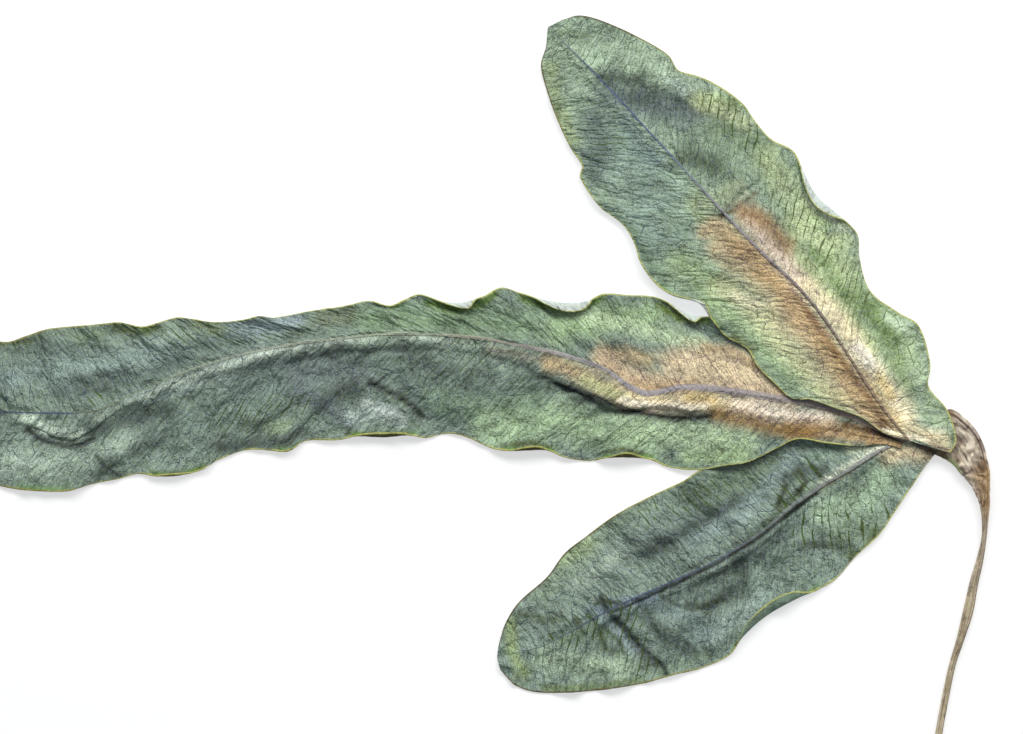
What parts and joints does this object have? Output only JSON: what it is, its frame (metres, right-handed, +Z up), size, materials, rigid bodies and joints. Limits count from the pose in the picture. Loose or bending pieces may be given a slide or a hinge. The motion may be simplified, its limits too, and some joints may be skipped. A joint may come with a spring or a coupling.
{
  "type": "fern frond",
  "caption": "Dried, pressed fern frond lying flat: long wavy leaf lobes spread from one hub, carried by a thin stalk with a twisted winged top.",
  "frame": {"origin": "middle of the flat spot that the long lobe rests on, under its edge on the stalk's side, near the frond's middle, on the surface it lies on", "axes": "+Z up from the surface the frond lies on; +X along the long lobe from its tip towards the hub; +Y towards the upper side lobe, so that the stalk runs to -Y"},
  "size_m": [0.3405, 0.2531, 0.0077],
  "materials": {
    "dried_leaf": "matte dried leaf, blue-green with tan along the midribs",
    "dried_stalk": "satin dried stalk, mauve-brown wing and straw-brown stalk"
  },
  "bodies": {
    "root": {"blade": "dried_leaf", "stipe": "dried_stalk"}
  },
  "joints": []
}
